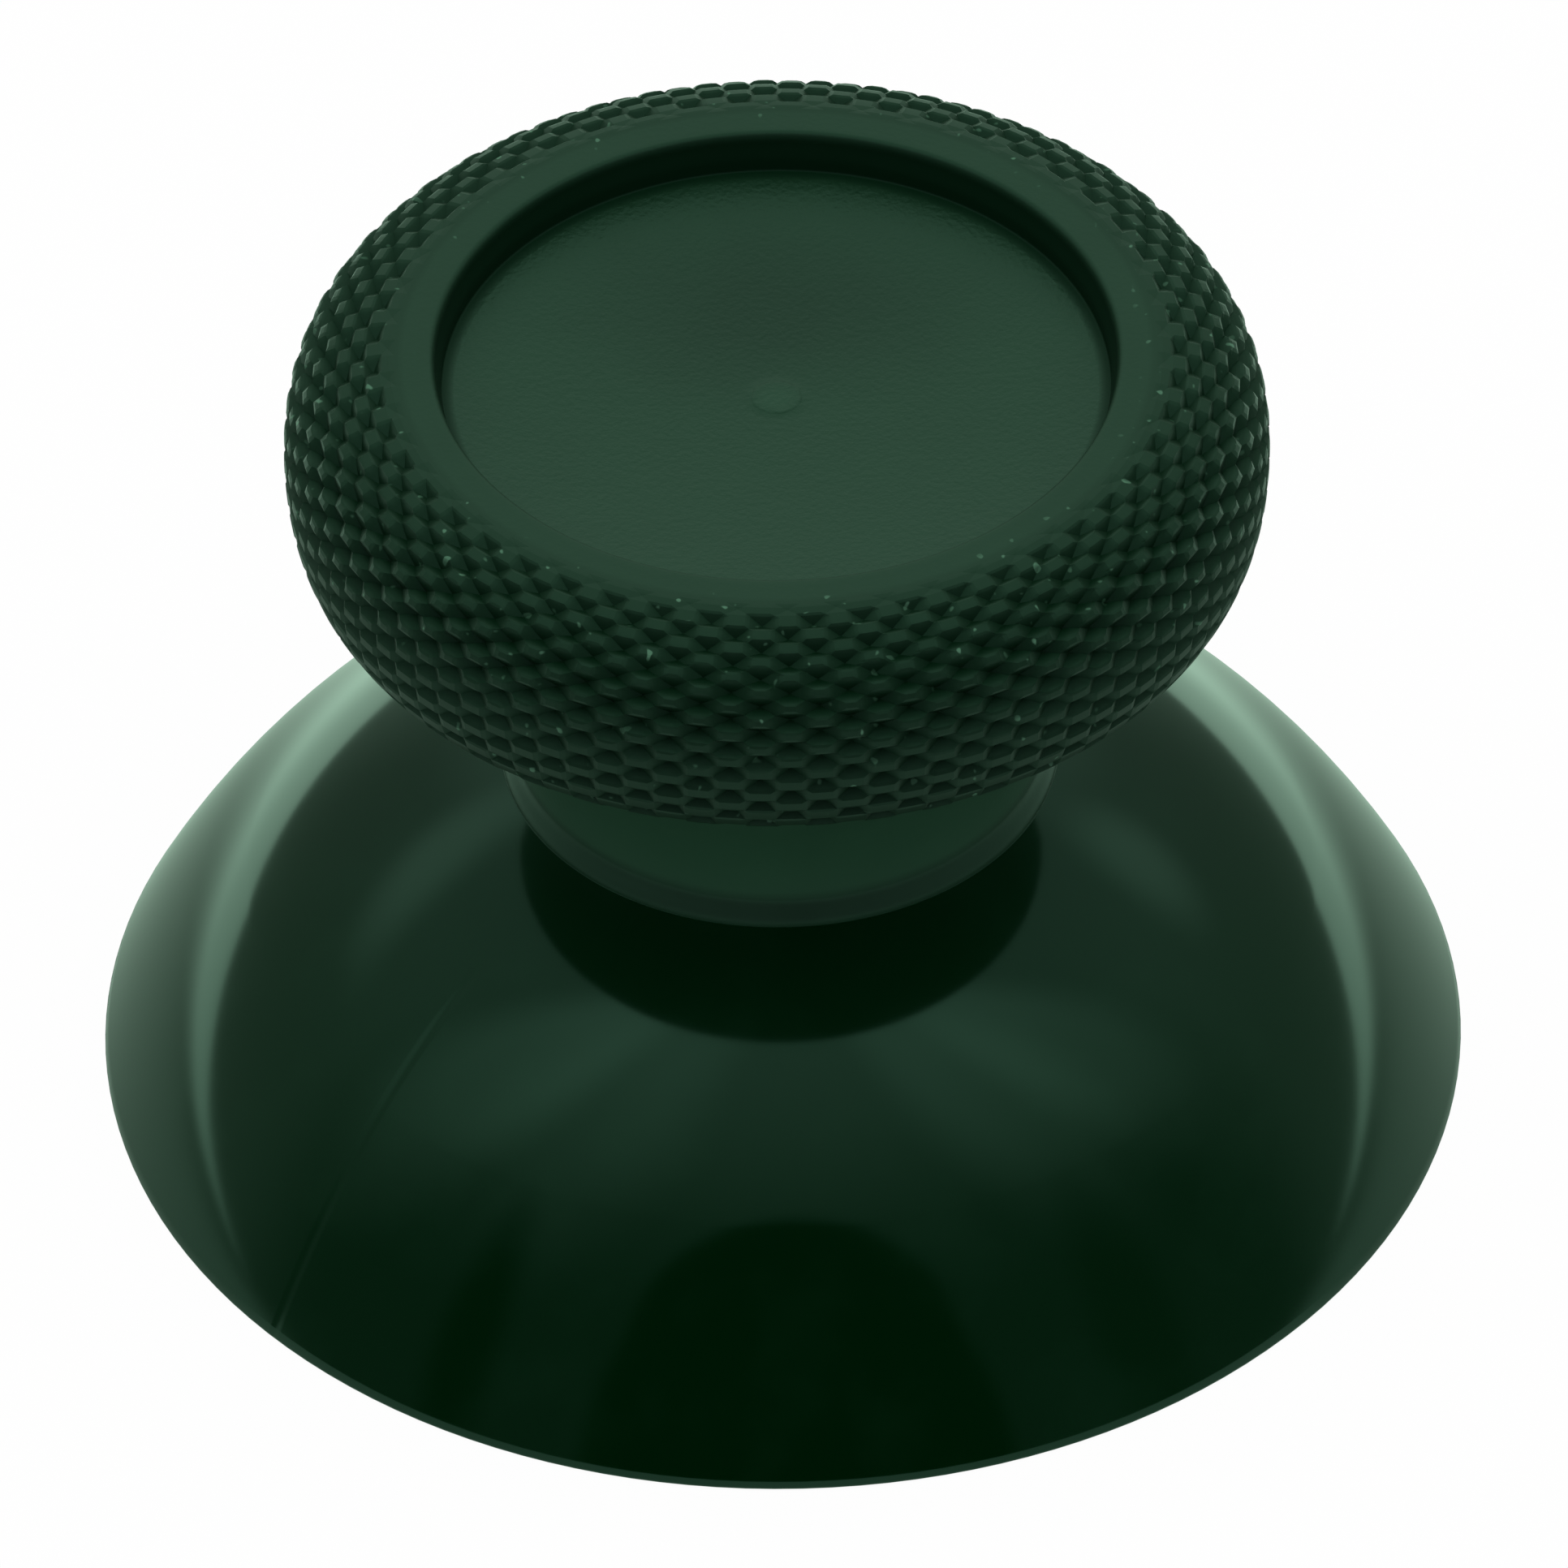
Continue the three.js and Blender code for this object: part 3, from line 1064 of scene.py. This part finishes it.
@dataclass(frozen=True)
class Tent:
    """The light tent round the cap, which its gloss mirrors, and the plain light."""

    tint: tuple[float, float, float, float] = (0.68, 1.0, 0.78, 1.0)
    plain_level: float = 0.8
    side_low_level: float = 0.27
    side_high_level: float = 0.44
    side_rise_start: float = 8.0
    side_rise_end: float = 44.0
    front_low_level: float = 0.09
    front_high_level: float = 0.58
    side_start: float = 78.0
    side_end: float = 104.0
    rise_start: float = 24.0
    rise_end: float = 80.0
    lights: tuple[Panel, ...] = (
        Panel(-77.0, 52.0, 14.0, 28.0, 0.5, 0.42, lean=0.2),
        Panel(79.0, 52.0, 13.0, 25.0, 0.5, 0.34, lean=-0.2),
        Panel(-51.0, 58.0, 20.0, 26.0, 0.6, 0.22, lean=0.3),
        Panel(57.0, 57.0, 17.0, 24.0, 0.6, 0.28, lean=-0.3),
        Panel(-131.0, 35.0, 10.0, 8.0, 0.7, 0.4, lean=-1.2),
        Panel(127.0, 34.0, 8.0, 7.0, 0.7, 0.36, lean=0.6),
        Panel(180.0, 45.0, 34.0, 26.0, 0.4, 0.4),
        Panel(180.0, 6.0, 24.0, 26.0, 0.6, 0.25),
    )
    shades: tuple[Panel, ...] = (
        Panel(0.0, 9.0, 33.0, 36.0, 0.05, 1.0),
        Panel(0.0, 28.0, 28.5, 16.0, 0.05, 1.0),
        Panel(-54.0, 16.0, 5.0, 16.0, 0.5, 0.9),
        Panel(57.0, 14.0, 7.0, 18.0, 0.5, 0.5),
    )

    def level(self, graph: Graph) -> Value:
        """The tent's brightness by direction.

        Args:
            graph: The world's graph.

        Returns:
            The brightness, where 1 is white.
        """
        x, y, z = graph.axes(graph.node("ShaderNodeTexCoord", output="Generated"))
        degrees = 180.0 / math.pi
        azimuth = x.apply("ARCTAN2", y * -1.0) * degrees
        elevation = z.apply("ARCSINE") * degrees
        rise = self.front_high_level - self.front_low_level
        front = elevation.ease(self.rise_start, self.rise_end) * rise + self.front_low_level
        rise = self.side_high_level - self.side_low_level
        side = elevation.ease(self.side_rise_start, self.side_rise_end) * rise
        side = side + self.side_low_level
        share = abs(azimuth).ease(self.side_start, self.side_end)
        level = front * (1.0 - share) + side * share
        for panel in self.lights:
            level = level + panel.mask(azimuth, elevation)
        for panel in self.shades:
            level = level * (1.0 - panel.mask(azimuth, elevation))
        return level

    def build(self) -> bpy.types.World:
        """Lights the world: a tinted tent where gloss mirrors it, and plain elsewhere.

        The camera sees it white. Light comes only along the surfaces' own rays, so
        that each kind of ray finds its own level.

        Returns:
            The world.
        """
        world = bpy.data.worlds.new("light_tent")
        world.use_nodes = True
        graph = Graph(world.node_tree)
        seen = graph.node("ShaderNodeLightPath", output="Is Camera Ray")
        glossy = graph.node("ShaderNodeLightPath", output="Is Glossy Ray")
        colour = graph.mix(glossy, WHITE, self.tint)
        strength = glossy * (self.level(graph) - self.plain_level) + self.plain_level
        glow = graph.node("ShaderNodeBackground", None, {"Color": colour, "Strength": strength})
        white = graph.node("ShaderNodeBackground", None, {"Color": WHITE, "Strength": 1.0})
        surface = graph.node("ShaderNodeMixShader", None, {0: seen, 1: glow, 2: white})
        graph.node("ShaderNodeOutputWorld", None, {"Surface": surface})
        world.cycles.sampling_method = "NONE"
        bpy.context.scene.world = world
        return world


@dataclass(frozen=True)
class Studio:
    """The pale floor, the lamp over the cap and the camera, in metres and degrees.

    The cap's gloss mirrors the floor at its near, far and back levels, and the
    camera sees the floor nearly white. The middle of the cap's base lies
    base_across and base_down pixels from the top left of a picture of
    picture_width pixels.
    """

    floor_radius: float = 3.0
    floor_sides: int = 96
    floor_colour: tuple[float, float, float, float] = (0.86, 0.86, 0.86, 1.0)
    floor_gap: float = 0.00002
    floor_white: float = 0.97
    floor_near: float = 0.012
    floor_far: float = 0.05
    floor_near_level: float = 0.6
    floor_far_level: float = 0.28
    floor_back_level: float = 1.7
    floor_back_start: float = 0.009
    floor_back_end: float = 0.022
    lamp_height: float = 0.4
    lamp_back: float = 0.02
    lamp_size: float = 0.16
    lamp_power: float = 0.3
    camera_distance: float = 0.5
    camera_elevation: float = 41.86
    camera_azimuth: float = -1.26
    camera_roll: float = -0.6
    base_across: float = 964.8
    base_down: float = 1269.35
    pixels_per_metre: float = 69580.0
    picture_width: float = 1932.0

    def build(self) -> None:
        """Makes everything that isn't the cap."""
        self.floor()
        self.lamp()
        self.camera()

    def floor(self) -> None:
        """A round pale floor that looks nearly white and keeps the cap's shadow."""
        turn = np.arange(self.floor_sides) * 2.0 * math.pi / self.floor_sides
        points = np.stack([np.cos(turn), np.sin(turn), 0.0 * turn], -1) * self.floor_radius
        points[:, 2] = -self.floor_gap
        mesh = bpy.data.meshes.new("floor")
        mesh.from_pydata(points, [], [list(range(self.floor_sides))])
        floor = bpy.data.objects.new("floor", mesh)
        bpy.context.collection.objects.link(floor)
        material = bpy.data.materials.new("pale_floor")
        material.use_nodes = True
        graph = Graph(material.node_tree)
        x, y, _ = graph.axes(graph.position())
        far = (x * x + y * y).apply("SQRT").ease(self.floor_near, self.floor_far)
        mirrored = far * (self.floor_far_level - self.floor_near_level) + self.floor_near_level
        back = y.ease(self.floor_back_start, self.floor_back_end)
        mirrored = mirrored + back * (self.floor_back_level - self.floor_far_level)
        seen = graph.node("ShaderNodeLightPath", output="Is Camera Ray")
        glossy = graph.node("ShaderNodeLightPath", output="Is Glossy Ray")
        paint = graph.node("ShaderNodeBsdfDiffuse", None, {"Color": self.floor_colour})
        white = graph.node("ShaderNodeEmission", None, {"Strength": 1.0})
        dim = graph.node("ShaderNodeEmission", None,
                         {"Color": Tent.tint, "Strength": mirrored})
        surface = graph.node("ShaderNodeMixShader", None,
                             {0: seen * self.floor_white, 1: paint, 2: white})
        surface = graph.node("ShaderNodeMixShader", None, {0: glossy, 1: surface, 2: dim})
        graph.node("ShaderNodeOutputMaterial", None, {"Surface": surface})
        mesh.materials.append(material)

    def lamp(self) -> None:
        """A soft round lamp over the cap."""
        data = bpy.data.lights.new("top_lamp", "AREA")
        data.shape = "DISK"
        data.size = self.lamp_size
        data.energy = self.lamp_power
        lamp = bpy.data.objects.new("top_lamp", data)
        lamp.visible_glossy = False
        lamp.location = (0.0, self.lamp_back, self.lamp_height)
        bpy.context.collection.objects.link(lamp)

    def camera(self) -> None:
        """A long lens that looks down at the cap from the photo's side."""
        data = bpy.data.cameras.new("camera")
        data.sensor_width = 36.0
        data.lens = (self.pixels_per_metre * self.camera_distance
                     / self.picture_width * data.sensor_width)
        data.clip_end = 20.0
        azimuth = math.radians(self.camera_azimuth)
        elevation = math.radians(self.camera_elevation)
        place = self.camera_distance * Vector((
            math.sin(azimuth) * math.cos(elevation),
            -math.cos(azimuth) * math.cos(elevation),
            math.sin(elevation),
        ))
        focal = self.pixels_per_metre * self.camera_distance
        middle = self.picture_width / 2.0
        turn = (-place).to_track_quat("-Z", "Y").to_matrix().to_4x4()
        roll = Matrix.Rotation(math.radians(self.camera_roll), 4, "Z")
        yaw = Matrix.Rotation(math.atan((self.base_across - middle) / focal), 4, "Y")
        pitch = Matrix.Rotation(math.atan((self.base_down - middle) / focal), 4, "X")
        camera = bpy.data.objects.new("camera", data)
        camera.matrix_world = Matrix.Translation(place) @ turn @ roll @ yaw @ pitch
        bpy.context.collection.objects.link(camera)
        bpy.context.scene.camera = camera


def main() -> None:
    """Builds the cap, the world's light and the studio, and logs them."""
    logging.basicConfig(level=logging.INFO, format="%(name)s: %(message)s")
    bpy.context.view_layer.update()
    cap = Cap.from_frame().build()
    LOG.info("%s: %d faces", cap.name, len(cap.data.polygons))
    tent = Tent().build()
    LOG.info("%s: the world's light", tent.name)
    Studio().build()
    LOG.info("floor, top_lamp and camera: the studio")
    bpy.context.scene.view_settings.view_transform = "Standard"


if __name__ == "__main__":
    main()
